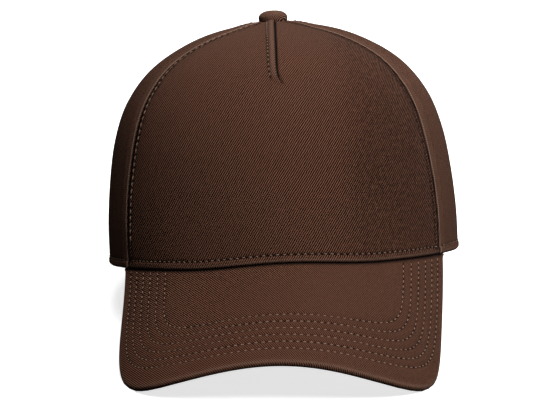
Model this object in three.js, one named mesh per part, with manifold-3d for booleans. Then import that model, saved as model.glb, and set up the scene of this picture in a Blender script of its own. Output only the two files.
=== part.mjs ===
import * as THREE from "three";
import { mergeVertices } from "three/addons/utils/BufferGeometryUtils.js";
import Module from "manifold-3d";

// A five-panel cap of cotton twill, resting on the two corners of its peak and the back of its rim.
// Millimetres, +Z up, the peak towards -Y. Left is the side at -X.
// The shapes are worked out about the rim's plane, with the rim's middle at zero, and then laid
// on the table.

// Crown
const RIM_WIDTH = 174;
const RIM_LENGTH = 200;
const CROWN_HEIGHT = 117;
const FOREHEAD_RISE = 2.4;
const FOREHEAD_RISE_DEG = 34;
const FRONT_WALL = 2.0;
const SIDE_WALL = 1.5;
const BACK_WALL = 1.5;
const FRONT_SEAM_DEG = 61;
const BACK_SEAM_DEG = 121.5;
const SEAM_SWING_DEG = 14;
const SEAM_SWING_FROM_U = 0.66;
const SEAM_SWING_TO_U = 1.08;
const SEAM_CLEARANCE = 0.3;
const SEAM_VALLEY = 0.8;
const SEAM_SPREAD = 6;
const TOP_HOLE_RADIUS = 2.5;

// Pinch dart at the top of the front panel
const DART_LENGTH = 77;
const DART_WIDTH = 3.2;
const DART_HEIGHT = 0.9;
const DART_ROOT = 1.6;
const DART_LEAN = 2.2;
const DART_LEAN_POWER = 6;
const DART_TIP_SHARE = 0.25;
const DART_TAPER = 7;
const DART_RISE_TAPER = 6;

// Button
const BUTTON_DIAMETER = 14.5;
const BUTTON_HEIGHT = 5.3;
const BUTTON_SKIRT = 1.6;
const BUTTON_SEAT_CLEARANCE = 0.3;
const BUTTON_FOOT_SHARE = 0.9;
const BUTTON_DOME_POWER = 0.8;
const STEM_RADIUS = 1.5;
const STEM_LENGTH = 3.5;

// Peak
const PEAK_LENGTH = 65.3;
const PEAK_SLOPE_DEG = 42;
const PEAK_END_DEG = 64.5;
const PEAK_THICKNESS = 3.2;
const PEAK_EDGE_ROUND = 1.2;
const PEAK_CORNER_POWER = 4.6;
const PEAK_WIDEST_BACK = 14;
const PEAK_CLEARANCE = 0.3;

// Sweatband
const BAND_HEIGHT = 30;
const BAND_WALL = 1.0;
const BAND_CLEARANCE = 0.4;
const BAND_RISE = 1.0;

// Back opening and its strap
const OPENING_WIDTH = 84;
const OPENING_HEIGHT = 48;
const STRAP_WIDTH = 20;
const STRAP_THICKNESS = 1.6;
const STRAP_CLEARANCE = 0.3;
const STRAP_RISE = 1.0;
const STRAP_TUCK = 12;
const STRAP_END_CLEARANCE = 0.5;

// How it lies: the crown is twisted on the peak, and the cloth is pressed flat where it touches
const CROWN_ROLL_DEG = 2.7;
const ROLL_FADE_DEPTH = 55;
const PEAK_DRIFT = 2.5;
const FLOOR_PRESS = 0.6;

// Sections of the crown from the rim to the top: the height as a share of CROWN_HEIGHT, and the reach
// to the side, front and back as shares of the rim's half width and half length.
const CROWN_SECTIONS = [
  { height: 0.0, side: 1.0, front: 1.0, back: 1.0 },
  { height: 0.176, side: 0.997, front: 0.98, back: 1.002 },
  { height: 0.353, side: 0.976, front: 0.944, back: 0.988 },
  { height: 0.523, side: 0.936, front: 0.89, back: 0.948 },
  { height: 0.678, side: 0.86, front: 0.808, back: 0.868 },
  { height: 0.812, side: 0.722, front: 0.69, back: 0.738 },
  { height: 0.908, side: 0.525, front: 0.53, back: 0.545 },
  { height: 0.968, side: 0.3, front: 0.31, back: 0.31 },
  { height: 1.0, side: 0.0, front: 0.0, back: 0.0 },
];

// Mesh steps
const FRONT_COLUMNS = 28;
const SIDE_COLUMNS = 14;
const BACK_COLUMNS = 8;
const ARCH_COLUMNS = 8;
const CROWN_ROWS = 13;
const BAND_COLUMNS = 44;
const STRAP_COLUMNS = 10;
const STRIP_ROWS = 2;
const PEAK_COLUMNS = 24;
const PEAK_ROWS = 6;
const DART_COLUMNS = 3;
const DART_ROWS = 16;
const BUTTON_SIDES = 24;
const BUTTON_STEPS = 5;
const NORMAL_STEP_DEG = 0.5;
const NORMAL_STEP_U = 0.004;
const NORMAL_TOP_U = 0.998;
const DART_STEP_U = 0.002;
const FOOT_STATIONS = 60;
const PITCH_LIMIT_DEG = 60;
const HALVINGS = 50;
const MERGE_DISTANCE = 0.001;

const HALF_WIDTH = RIM_WIDTH / 2;
const HALF_LENGTH = RIM_LENGTH / 2;
const HALF_SEAM = SEAM_CLEARANCE / 2;
const THICKEST_WALL = Math.max(FRONT_WALL, SIDE_WALL, BACK_WALL);
const SEAMS_DEG = [-BACK_SEAM_DEG, -FRONT_SEAM_DEG, FRONT_SEAM_DEG, BACK_SEAM_DEG, 180];
const RAD = Math.PI / 180;

const mix = (a, b, t) => a + (b - a) * t;

function smoothStep(low, high, value) {
  const t = Math.min(1, Math.max(0, (value - low) / (high - low)));
  return t * t * (3 - 2 * t);
}

// A smooth curve through one column of the sections, u = 0 at the rim and 1 at the top
function section(column, u) {
  const last = CROWN_SECTIONS.length - 1;
  const place = Math.min(Math.max(u, 0), 1) * last;
  const i = Math.min(Math.floor(place), last - 1);
  const t = place - i;
  const at = (k) => CROWN_SECTIONS[k][column];
  const mirror = column === "height" ? at(last - 1) : -at(last - 1);
  const before = i > 0 ? at(i - 1) : 2 * at(0) - at(1);
  const after = i < last - 1 ? at(i + 2) : mirror;
  const [p, q] = [at(i), at(i + 1)];
  const cubic = (-before + 3 * p - 3 * q + after) * t + (2 * before - 5 * p + 4 * q - after);
  return 0.5 * ((cubic * t + (q - before)) * t) + p;
}

// The u at which a column reaches a value, by halving
function sectionAt(column, value) {
  let [low, high] = [0, 1];
  const rising = column === "height";
  for (let step = 0; step < HALVINGS; step += 1) {
    const middle = (low + high) / 2;
    if (section(column, middle) < value === rising) low = middle;
    else high = middle;
  }
  return (low + high) / 2;
}

const TOP_U = sectionAt("side", TOP_HOLE_RADIUS / HALF_WIDTH);

// The rim rises over the middle of the forehead
function rimRise(deg) {
  const share = Math.min(1, Math.abs(deg) / FOREHEAD_RISE_DEG);
  return FOREHEAD_RISE * Math.cos(share * Math.PI / 2) ** 2;
}

// The u of a height above the rim, measured straight up
function heightToU(deg, above) {
  return sectionAt("height", above / (CROWN_HEIGHT - rimRise(deg)));
}

// The front seams swing forward as they near the button
function frontSeamDeg(u) {
  return FRONT_SEAM_DEG - SEAM_SWING_DEG * smoothStep(SEAM_SWING_FROM_U, SEAM_SWING_TO_U, u);
}

// The angle round the crown of a place on the cloth, where each seam keeps its angle at the rim
function turnOf(deg, u) {
  const away = Math.abs(deg);
  if (away <= FRONT_SEAM_DEG) return (deg * frontSeamDeg(u) * RAD) / FRONT_SEAM_DEG;
  if (away >= BACK_SEAM_DEG) return deg * RAD;
  const share = (away - FRONT_SEAM_DEG) / (BACK_SEAM_DEG - FRONT_SEAM_DEG);
  return Math.sign(deg) * mix(frontSeamDeg(u), BACK_SEAM_DEG, share) * RAD;
}

function crownSkin(deg, u) {
  const turn = turnOf(deg, u);
  const forward = Math.cos(turn);
  const reach = section(forward > 0 ? "front" : "back", u) * HALF_LENGTH;
  const height = section("height", u);
  return new THREE.Vector3(
    section("side", u) * HALF_WIDTH * Math.sin(turn),
    -reach * forward,
    height * CROWN_HEIGHT + rimRise(deg) * (1 - height),
  );
}

// Outward direction of the crown
function crownNormal(deg, u) {
  const low = Math.max(0, u - NORMAL_STEP_U);
  const high = Math.min(NORMAL_TOP_U, u + NORMAL_STEP_U);
  const across = crownSkin(deg + NORMAL_STEP_DEG, u).sub(crownSkin(deg - NORMAL_STEP_DEG, u));
  const up = crownSkin(deg, high).sub(crownSkin(deg, low));
  return across.cross(up).normalize();
}

function seamRadius(u) {
  return Math.min(section("side", u) * HALF_WIDTH, section("front", u) * HALF_LENGTH);
}

// The cloth dips towards each seam, but not under the button or at the stiff rim
function seamValley(deg, u) {
  const radius = seamRadius(u);
  const turns = SEAMS_DEG.map((seam) => Math.abs(((deg - seam + 540) % 360) - 180));
  const away = Math.min(...turns) * RAD * radius;
  const dip = Math.exp(-((away / SEAM_SPREAD) ** 2));
  const height = section("height", u) * CROWN_HEIGHT;
  const aboveBand = smoothStep(BAND_HEIGHT, 2 * BAND_HEIGHT, height);
  const clearOfButton = smoothStep(BUTTON_DIAMETER / 2, BUTTON_DIAMETER * 2, radius);
  return SEAM_VALLEY * dip * aboveBand * clearOfButton;
}

// A point at a depth inside the crown's outer face
function crownPoint(deg, u, depth) {
  const inward = crownNormal(deg, u).multiplyScalar(-(depth + seamValley(deg, u)));
  return crownSkin(deg, u).add(inward);
}

// The crown leans over to -X, less and less towards the back of the rim. Below the rim the twist
// fades out down the peak, which drifts a little to -X instead.
function roll(point) {
  const back = smoothStep(HALF_LENGTH, 0, point.y);
  const down = smoothStep(-ROLL_FADE_DEPTH, 0, point.z);
  const twist = Math.tan(CROWN_ROLL_DEG * RAD) * back * down;
  const drift = PEAK_DRIFT * smoothStep(0, -ROLL_FADE_DEPTH, point.z);
  return new THREE.Vector3(
    point.x - twist * Math.max(0, point.z) - drift,
    point.y,
    point.z + twist * point.x,
  );
}

// Peak: a board bent round one straight direction, so that its inner edge follows the rim
const PEAK_ALONG = new THREE.Vector3(0, -Math.cos(PEAK_SLOPE_DEG * RAD), -Math.sin(PEAK_SLOPE_DEG * RAD));
const PEAK_UP = new THREE.Vector3(0, -Math.sin(PEAK_SLOPE_DEG * RAD), Math.cos(PEAK_SLOPE_DEG * RAD));
const PEAK_START = crownSkin(0, 0).add(new THREE.Vector3(0, 0, -PEAK_CLEARANCE));

function peakRoot(deg) {
  const offset = crownSkin(deg, 0).sub(crownSkin(0, 0));
  return { x: offset.x, drop: -offset.dot(PEAK_UP), along: offset.dot(PEAK_ALONG) };
}

// The bend as a list of stations from the middle to one end, with the distance round the bend
const BEND_STEPS = 120;
const bend = [{ deg: 0, round: 0 }];
for (let i = 1; i <= BEND_STEPS; i += 1) {
  const deg = (PEAK_END_DEG * i) / BEND_STEPS;
  const [from, to] = [peakRoot(bend[i - 1].deg), peakRoot(deg)];
  bend.push({ deg, round: bend[i - 1].round + Math.hypot(to.x - from.x, to.drop - from.drop) });
}
const PEAK_HALF_ROUND = bend[BEND_STEPS].round;

function bendDeg(round) {
  const target = Math.abs(round);
  let i = 1;
  while (i < BEND_STEPS && bend[i].round < target) i += 1;
  const [a, b] = [bend[i - 1], bend[i]];
  return Math.sign(round) * mix(a.deg, b.deg, (target - a.round) / (b.round - a.round));
}

// A point of the peak from its flat pattern: round the bend, along from the start, and down into it
function peakPoint(round, along, depth) {
  const deg = bendDeg(round);
  const root = peakRoot(deg);
  const [left, right] = [peakRoot(deg - NORMAL_STEP_DEG), peakRoot(deg + NORMAL_STEP_DEG)];
  const [dx, drop] = [right.x - left.x, right.drop - left.drop];
  const length = Math.hypot(dx, drop);
  const normal = PEAK_UP.clone().multiplyScalar(dx / length);
  normal.x = drop / length;
  const point = PEAK_START.clone().addScaledVector(PEAK_ALONG, along);
  point.x += root.x;
  return point.addScaledVector(PEAK_UP, -root.drop).addScaledVector(normal, -depth);
}

// The outer edge in the flat pattern, a rounded box
function peakEdge(share) {
  const bulge = (1 - Math.abs(share) ** PEAK_CORNER_POWER) ** (1 / PEAK_CORNER_POWER);
  return { round: share * PEAK_HALF_ROUND, along: mix(-PEAK_WIDEST_BACK, PEAK_LENGTH, bulge) };
}

// Resting on the table: the pitch brings the peak's corners and the back of the rim level
function lowest(points, pitch) {
  return Math.min(...points.map((p) => p.y * Math.sin(pitch) + p.z * Math.cos(pitch)));
}

const peakFeet = [];
const rimFeet = [];
for (let i = -FOOT_STATIONS; i <= FOOT_STATIONS; i += 1) {
  const edge = peakEdge(i / FOOT_STATIONS);
  peakFeet.push(roll(peakPoint(edge.round, edge.along, PEAK_THICKNESS / 2)));
  rimFeet.push(roll(crownSkin(180 + i, heightToU(180, STRAP_RISE))));
}

function restingPitch() {
  let [low, high] = [-PITCH_LIMIT_DEG * RAD, PITCH_LIMIT_DEG * RAD];
  for (let step = 0; step < HALVINGS; step += 1) {
    const middle = (low + high) / 2;
    if (lowest(peakFeet, middle) < lowest(rimFeet, middle)) high = middle;
    else low = middle;
  }
  return (low + high) / 2;
}

const PITCH = restingPitch();
const LIFT = -lowest(peakFeet, PITCH) - FLOOR_PRESS;
const PITCH_AXIS = new THREE.Vector3(1, 0, 0);

function lay(point) {
  const laid = roll(point).applyAxisAngle(PITCH_AXIS, PITCH);
  laid.z += LIFT;
  return laid;
}

// Geometry from closed lists of corners and triangles
function solid(points, faces) {
  const geometry = new THREE.BufferGeometry();
  geometry.setAttribute("position", new THREE.Float32BufferAttribute(points.flatMap((p) => p.toArray()), 3));
  geometry.setIndex(faces.flat());
  return geometry;
}

// A plate between an outer and an inner grid of points, each listed column by column
function plate(columns, rows, outerAt, innerAt) {
  const points = [];
  for (const at of [outerAt, innerAt]) {
    for (let i = 0; i <= columns; i += 1) {
      for (let j = 0; j <= rows; j += 1) points.push(lay(at(i, j)));
    }
  }
  const size = (columns + 1) * (rows + 1);
  const outer = (i, j) => i * (rows + 1) + j;
  const inner = (i, j) => size + outer(i, j);
  const faces = [];
  const quad = (a, b, c, d) => faces.push([a, b, c], [a, c, d]);
  for (let i = 0; i < columns; i += 1) {
    for (let j = 0; j < rows; j += 1) {
      quad(outer(i, j), outer(i + 1, j), outer(i + 1, j + 1), outer(i, j + 1));
      quad(inner(i, j), inner(i, j + 1), inner(i + 1, j + 1), inner(i + 1, j));
    }
    quad(outer(i, 0), inner(i, 0), inner(i + 1, 0), outer(i + 1, 0));
    quad(outer(i, rows), outer(i + 1, rows), inner(i + 1, rows), inner(i, rows));
  }
  for (let j = 0; j < rows; j += 1) {
    quad(outer(0, j), outer(0, j + 1), inner(0, j + 1), inner(0, j));
    quad(outer(columns, j), inner(columns, j), inner(columns, j + 1), outer(columns, j + 1));
  }
  return solid(points, faces);
}

// Shares from 0 to 1 that crowd towards both ends
function crowdedShares(count) {
  return Array.from({ length: count + 1 }, (_, i) => 0.5 - 0.5 * Math.cos((Math.PI * i) / count));
}

// Height of a panel's lower edge above the rim: the arch of the back opening, or nothing
function lowerEdge(deg) {
  const across = Math.abs(HALF_WIDTH * Math.sin(deg * RAD)) / (OPENING_WIDTH / 2);
  if (Math.cos(deg * RAD) > 0 || across >= 1) return 0;
  return OPENING_HEIGHT * Math.sqrt(1 - across * across);
}

// A panel between two seams. The columns are angles round the rim, low to high.
function panel(degs, wall) {
  const [first, last] = [degs[0], degs[degs.length - 1]];
  const at = (depth) => (i, j) => {
    const start = heightToU(degs[i], lowerEdge(degs[i]));
    const u = mix(start, TOP_U, j / CROWN_ROWS);
    const inset = HALF_SEAM / seamRadius(u) / RAD;
    const share = (degs[i] - first) / (last - first);
    return crownPoint(mix(first + inset, last - inset, share), u, depth);
  };
  return plate(degs.length - 1, CROWN_ROWS, at(0), at(wall));
}

const spread = (low, high, count) => crowdedShares(count).map((share) => mix(low, high, share));

// Back panels have even columns up to the opening, and then columns evenly spaced round its arch
function backDegs() {
  const edge = Math.asin(OPENING_WIDTH / RIM_WIDTH) / RAD;
  const degs = spread(BACK_SEAM_DEG, 180 - edge, BACK_COLUMNS);
  for (let i = 1; i <= ARCH_COLUMNS; i += 1) {
    const across = Math.cos((Math.PI / 2) * (i / ARCH_COLUMNS)) * (OPENING_WIDTH / RIM_WIDTH);
    degs.push(180 - Math.asin(across) / RAD);
  }
  return degs;
}

const wasm = await Module();
wasm.setup();

function toManifold(geometry) {
  const bare = new THREE.BufferGeometry();
  bare.setAttribute("position", geometry.getAttribute("position").clone());
  if (geometry.index) bare.setIndex(geometry.index.clone());
  const merged = mergeVertices(bare);
  const vertProperties = new Float32Array(merged.getAttribute("position").array);
  const triVerts = new Uint32Array(merged.index.array);
  return new wasm.Manifold(new wasm.Mesh({ numProp: 3, vertProperties, triVerts }));
}

function fromManifold(body) {
  const mesh = body.getMesh();
  const geometry = new THREE.BufferGeometry();
  geometry.setAttribute("position", new THREE.BufferAttribute(mesh.vertProperties, mesh.numProp));
  geometry.setIndex(new THREE.BufferAttribute(mesh.triVerts, 1));
  return geometry;
}

// The edges that touch the table are pressed flat on it
const TABLE_SIZE = 4 * RIM_LENGTH;
const tableTop = new THREE.BoxGeometry(TABLE_SIZE, TABLE_SIZE, RIM_LENGTH);
tableTop.deleteAttribute("normal");
tableTop.deleteAttribute("uv");
const table = toManifold(tableTop.translate(0, 0, -RIM_LENGTH / 2));
const pressFlat = (geometry) => fromManifold(toManifold(geometry).subtract(table));

// The dart is a narrow tuck, folded over to -X, that runs down from the button and tapers out
function dartTuck() {
  const startU = sectionAt("front", (BUTTON_DIAMETER / 2 + BUTTON_SEAT_CLEARANCE) / HALF_LENGTH);
  const top = crownSkin(0, startU);
  let endU = startU;
  while (endU > 0 && crownSkin(0, endU).distanceTo(top) < DART_LENGTH) endU -= DART_STEP_U;
  const at = (rise) => (i, j) => {
    const t = j / DART_ROWS;
    const u = mix(endU, startU, t);
    const taper = Math.min(1, DART_TIP_SHARE + t * DART_TAPER);
    const x = -DART_WIDTH * taper * (1 - i / DART_COLUMNS) + DART_LEAN * (1 - t) ** DART_LEAN_POWER;
    const inside = i > 0 && i < DART_COLUMNS;
    const crest = inside ? rise * Math.min(1, t * DART_RISE_TAPER) : -DART_ROOT / 2;
    const turn = Math.asin(x / (section("side", u) * HALF_WIDTH)) / RAD;
    const deg = (turn * FRONT_SEAM_DEG) / frontSeamDeg(u);
    return crownPoint(deg, u, rise < 0 ? DART_ROOT : -crest);
  };
  return plate(DART_COLUMNS, DART_ROWS, at(DART_HEIGHT), at(-DART_ROOT));
}

function frontPanel() {
  const whole = panel(spread(-FRONT_SEAM_DEG, FRONT_SEAM_DEG, FRONT_COLUMNS), FRONT_WALL);
  return fromManifold(toManifold(whole).add(toManifold(dartTuck())));
}

// A strip inside the crown, between two heights above the rim and two angles
function innerStrip(fromDeg, toDeg, columns, low, high, depth, thickness) {
  const at = (into) => (i, j) => {
    const deg = mix(fromDeg, toDeg, i / columns);
    return crownPoint(deg, heightToU(deg, mix(low, high, j / STRIP_ROWS)), into);
  };
  return plate(columns, STRIP_ROWS, at(depth), at(depth + thickness));
}

const STRAP_HALF_DEG = Math.asin(OPENING_WIDTH / RIM_WIDTH) / RAD + STRAP_TUCK / HALF_LENGTH / RAD;

function backStrap() {
  const depth = BACK_WALL + STRAP_CLEARANCE;
  const top = STRAP_RISE + STRAP_WIDTH;
  const [from, to] = [180 - STRAP_HALF_DEG, 180 + STRAP_HALF_DEG];
  return innerStrip(from, to, STRAP_COLUMNS, STRAP_RISE, top, depth, STRAP_THICKNESS);
}

function sweatband() {
  const depth = THICKEST_WALL + BAND_CLEARANCE;
  const end = 180 - STRAP_HALF_DEG - STRAP_END_CLEARANCE / HALF_WIDTH / RAD;
  return innerStrip(-end, end, BAND_COLUMNS, BAND_RISE, BAND_HEIGHT, depth, BAND_WALL);
}

// The peak is a bent board with a rounded outer edge
function peak() {
  const columns = PEAK_COLUMNS;
  const rows = PEAK_ROWS;
  const flatAt = (i, j, inset = 0) => {
    const share = Math.sin((Math.PI / 2) * ((2 * i) / columns - 1));
    const edge = peakEdge(share);
    const round = edge.round - Math.sign(edge.round) * inset;
    return { round, along: mix(peakRoot(bendDeg(round)).along, edge.along, j / rows) };
  };
  // The flat pattern drawn in from its outer edge by the rounding
  const insetAt = (i, j) => {
    const flat = flatAt(i, j);
    if (i === 0 || i === columns) return flatAt(i, j, PEAK_EDGE_ROUND);
    if (j < rows) return flat;
    const [before, after] = [flatAt(i - 1, j), flatAt(i + 1, j)];
    const run = [after.round - before.round, after.along - before.along];
    const length = Math.hypot(...run);
    return {
      round: flat.round + (run[1] / length) * PEAK_EDGE_ROUND,
      along: flat.along - (run[0] / length) * PEAK_EDGE_ROUND,
    };
  };
  const points = [];
  const put = (flat, depth) => points.push(lay(peakPoint(flat.round, flat.along, depth))) - 1;
  const grid = (depth) => Array.from({ length: columns + 1 }, (_, i) => (
    Array.from({ length: rows + 1 }, (__, j) => put(insetAt(i, j), depth))));
  const top = grid(0);
  const bottom = grid(PEAK_THICKNESS);
  // The outer edge as one run: down one side, round the front and back up the other side
  const run = [];
  for (let j = 0; j < rows; j += 1) run.push([0, j]);
  for (let i = 0; i <= columns; i += 1) run.push([i, rows]);
  for (let j = rows - 1; j >= 0; j -= 1) run.push([columns, j]);
  const edge = run.map(([i, j]) => put(flatAt(i, j), PEAK_THICKNESS / 2));
  const faces = [];
  const quad = (a, b, c, d) => faces.push([a, b, c], [a, c, d]);
  for (let i = 0; i < columns; i += 1) {
    for (let j = 0; j < rows; j += 1) {
      quad(top[i][j], top[i][j + 1], top[i + 1][j + 1], top[i + 1][j]);
      quad(bottom[i][j], bottom[i + 1][j], bottom[i + 1][j + 1], bottom[i][j + 1]);
    }
    quad(top[i][0], top[i + 1][0], bottom[i + 1][0], bottom[i][0]);
  }
  for (let k = 0; k + 1 < run.length; k += 1) {
    const [[i, j], [nextI, nextJ]] = [run[k], run[k + 1]];
    quad(top[i][j], edge[k], edge[k + 1], top[nextI][nextJ]);
    quad(edge[k], bottom[i][j], bottom[nextI][nextJ], edge[k + 1]);
  }
  faces.push([top[0][0], bottom[0][0], edge[0]]);
  faces.push([top[columns][0], edge[edge.length - 1], bottom[columns][0]]);
  return solid(points, faces);
}

// The button stands on the top of the crown, with its stem down through the hole
function button() {
  const radius = BUTTON_DIAMETER / 2;
  const profile = [
    new THREE.Vector2(0, -STEM_LENGTH),
    new THREE.Vector2(STEM_RADIUS, -STEM_LENGTH),
    new THREE.Vector2(STEM_RADIUS, BUTTON_SEAT_CLEARANCE),
    new THREE.Vector2(radius * BUTTON_FOOT_SHARE, BUTTON_SEAT_CLEARANCE),
  ];
  for (let i = 0; i <= BUTTON_STEPS; i += 1) {
    const turn = (Math.PI / 2) * (i / BUTTON_STEPS);
    const rise = BUTTON_SKIRT + (BUTTON_HEIGHT - BUTTON_SKIRT) * Math.sin(turn);
    const reach = i === BUTTON_STEPS ? 0 : radius * Math.cos(turn) ** BUTTON_DOME_POWER;
    profile.push(new THREE.Vector2(reach, rise));
  }
  const turned = new THREE.LatheGeometry(profile, BUTTON_SIDES);
  turned.deleteAttribute("normal");
  turned.deleteAttribute("uv");
  return mergeVertices(turned, MERGE_DISTANCE).rotateX(Math.PI / 2);
}

const TWILL = { color: 0x4a2f24, roughness: 0.9, metalness: 0 };
const DARK_TWILL = { color: 0x3b251d, roughness: 0.92, metalness: 0 };

function add(group, name, geometry, look) {
  const mesh = new THREE.Mesh(geometry, new THREE.MeshStandardMaterial(look));
  mesh.name = name;
  group.add(mesh);
  return mesh;
}

const cap = new THREE.Group();
const sideDegs = spread(FRONT_SEAM_DEG, BACK_SEAM_DEG, SIDE_COLUMNS);
const mirrored = (degs) => degs.map((deg) => -deg).reverse();

add(cap, "front_panel", frontPanel(), TWILL);
add(cap, "side_panel_left", panel(mirrored(sideDegs), SIDE_WALL), TWILL);
add(cap, "side_panel_right", panel(sideDegs, SIDE_WALL), TWILL);
add(cap, "back_panel_left", pressFlat(panel(mirrored(backDegs()), BACK_WALL)), TWILL);
add(cap, "back_panel_right", pressFlat(panel(backDegs(), BACK_WALL)), TWILL);
add(cap, "peak", pressFlat(peak()), TWILL);
add(cap, "sweatband", sweatband(), DARK_TWILL);
add(cap, "back_strap", pressFlat(backStrap()), TWILL);

const crownTop = crownSkin(0, 1);
const topButton = add(cap, "button", button(), TWILL);
topButton.position.copy(lay(crownTop));
const topAxis = lay(crownTop.clone().setZ(crownTop.z + 1)).sub(topButton.position).normalize();
topButton.quaternion.setFromUnitVectors(new THREE.Vector3(0, 0, 1), topAxis);

// The origin lies on the table, under the middle of the cap
const box = new THREE.Box3().setFromObject(cap, true);
cap.position.set(-(box.min.x + box.max.x) / 2, -(box.min.y + box.max.y) / 2, 0);
cap.updateMatrixWorld(true);

export default cap;
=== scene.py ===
import math

import bpy
import numpy as np
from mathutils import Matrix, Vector


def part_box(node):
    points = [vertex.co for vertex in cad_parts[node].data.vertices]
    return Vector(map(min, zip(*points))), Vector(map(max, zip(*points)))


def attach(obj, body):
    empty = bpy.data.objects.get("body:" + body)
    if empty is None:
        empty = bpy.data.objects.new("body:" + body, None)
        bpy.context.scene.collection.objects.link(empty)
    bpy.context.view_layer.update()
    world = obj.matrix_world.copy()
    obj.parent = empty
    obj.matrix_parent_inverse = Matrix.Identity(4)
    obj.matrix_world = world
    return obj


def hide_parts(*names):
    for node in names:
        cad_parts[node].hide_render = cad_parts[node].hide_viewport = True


# A five-panel cap of brown cotton twill, dressed round its CAD solids.
# Shapes are worked out in millimetres about the middle of the rim, as in the part's source, then laid
# on the table and turned into metres when a mesh is made.

# Crown, as in the part's source
RIM_WIDTH = 174.0
RIM_LENGTH = 200.0
CROWN_HEIGHT = 117.0
FOREHEAD_RISE = 2.4
FOREHEAD_RISE_DEG = 34.0
FRONT_WALL = 2.0
SIDE_WALL = 1.5
BACK_WALL = 1.5
FRONT_SEAM_DEG = 61.0
BACK_SEAM_DEG = 121.5
SEAM_SWING_DEG = 14.0
SEAM_SWING_FROM_U = 0.66
SEAM_SWING_TO_U = 1.08
SEAM_VALLEY = 0.8
SEAM_SPREAD = 6.0
TOP_HOLE_RADIUS = 2.5
CROWN_SECTIONS = {
    "height": (0.0, 0.176, 0.353, 0.523, 0.678, 0.812, 0.908, 0.968, 1.0),
    "side": (1.0, 0.997, 0.976, 0.936, 0.86, 0.722, 0.525, 0.3, 0.0),
    "front": (1.0, 0.98, 0.944, 0.89, 0.808, 0.69, 0.53, 0.31, 0.0),
    "back": (1.0, 1.002, 0.988, 0.948, 0.868, 0.738, 0.545, 0.31, 0.0),
}

# Peak, as in the part's source
PEAK_LENGTH = 65.3
PEAK_SLOPE_DEG = 42.0
PEAK_END_DEG = 64.5
PEAK_THICKNESS = 3.2
PEAK_CORNER_POWER = 4.6
PEAK_WIDEST_BACK = 14.0
PEAK_CLEARANCE = 0.3

# Button, sweatband, back opening and strap, as in the part's source
BUTTON_DIAMETER = 14.5
BUTTON_HEIGHT = 5.3
BAND_HEIGHT = 30.0
BAND_WALL = 1.0
BAND_CLEARANCE = 0.4
BAND_RISE = 1.0
OPENING_WIDTH = 84.0
OPENING_HEIGHT = 48.0
STRAP_WIDTH = 20.0
STRAP_THICKNESS = 1.6
STRAP_CLEARANCE = 0.3
STRAP_RISE = 1.0
STRAP_TUCK = 12.0
STRAP_END_CLEARANCE = 0.5

# How it lies, as in the part's source
CROWN_ROLL_DEG = 2.7
ROLL_FADE_DEPTH = 55.0
PEAK_DRIFT = 2.5
FLOOR_PRESS = 0.6

# Dart: a tuck folded over to -X, with its fold line drifting to +X at its lower end
DART_LENGTH = 77.0
DART_WIDTH = 3.0
DART_HEIGHT = 1.0
DART_DRIFT = 3.2
DART_DRIFT_POWER = 26
DART_ROW_OFF = 3.6
DART_UNDER_BUTTON = 1.5
DART_CREASE_DEPTH = 1.2

# Sewing
STITCH_PITCH = 3.3
STITCH_LENGTH = 2.1
THREAD_RADIUS = 0.25
SEAM_ROW_OFF = 4.0
HEM_ROW_OFF = 4.0
SEAM_GAP = 0.005
EDGE_ROLL = 1.0
ALLOWANCE_WIDTH = 6.4
ALLOWANCE_RISE = 0.45
FRONT_EDGE_DIP = 0.35
FRONT_EDGE_WELT = 0.2
HEM_FOLD_RISE = 0.4
GROOVE_DEPTH = 0.22
HEM_GROOVE_DEPTH = 0.24
GROOVE_WIDTH = 0.5
HEM_ROW_INSET_DEG = 0.8
SEAM_ROW_LOW = 0.6
SEAM_ROW_TOP_RADIUS = 9.0
OFF_ROW = 9.0

# Unevenness of the cloth
PUCKER_SIZE = 5.0
PUCKER_DEPTH = 0.16
SWELL_SIZE = 38.0
SWELL_DEPTH = 0.32
INNER_SWELL_DEPTH = 0.15

# Rows of the peak's quilting, from the outermost to the innermost
PEAK_ROWS = 6
PEAK_ROW_FRONT = 55.4
PEAK_ROW_FRONT_STEP = 4.4
PEAK_ROW_SIDE = 85.5
PEAK_ROW_SIDE_STEP = 4.8
PEAK_ROW_BOW = 5.0
PEAK_ROW_POWER = 5.0
PEAK_ROW_POWER_STEP = 0.4

# Mesh steps in millimetres
FINE_STEP = 0.35
COARSE_STEP = 1.2
STEP_GROWTH = 1.08

HALF_WIDTH = RIM_WIDTH / 2
HALF_LENGTH = RIM_LENGTH / 2
METRES = 0.001
SLOPE = math.radians(PEAK_SLOPE_DEG)
PEAK_ALONG = np.array([0.0, -math.cos(SLOPE), -math.sin(SLOPE)])
PEAK_UP = np.array([0.0, -math.sin(SLOPE), math.cos(SLOPE)])

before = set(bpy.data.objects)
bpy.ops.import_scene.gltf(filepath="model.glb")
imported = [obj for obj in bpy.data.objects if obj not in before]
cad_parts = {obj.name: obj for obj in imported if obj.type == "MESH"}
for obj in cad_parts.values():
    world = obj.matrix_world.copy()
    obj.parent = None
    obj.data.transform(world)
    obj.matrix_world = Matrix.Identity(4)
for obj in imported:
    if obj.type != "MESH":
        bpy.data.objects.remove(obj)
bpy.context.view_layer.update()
rng = np.random.default_rng(5)


def mix(a, b, t):
    return a + (b - a) * t


def smooth_step(low, high, value):
    t = np.clip((value - low) / (high - low), 0.0, 1.0)
    return t * t * (3 - 2 * t)


def hill(value, middle, width):
    return np.exp(-(((value - middle) / width) ** 2))


def rolled_edge(distance, radius):
    """How far a round edge has fallen away at a distance from its rim."""
    near = np.minimum(distance, radius)
    return radius - np.sqrt(np.maximum(0.0, radius ** 2 - (radius - near) ** 2))


def run_along(line):
    """Distance along a line to each of its points."""
    steps = np.linalg.norm(np.diff(line, axis=0), axis=-1)
    return np.concatenate([[0.0], np.cumsum(steps)])


def at_run(place, run, line):
    """The points of a line at some distances along it."""
    return np.stack([np.interp(place, run, values) for values in line.T], axis=-1)


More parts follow.
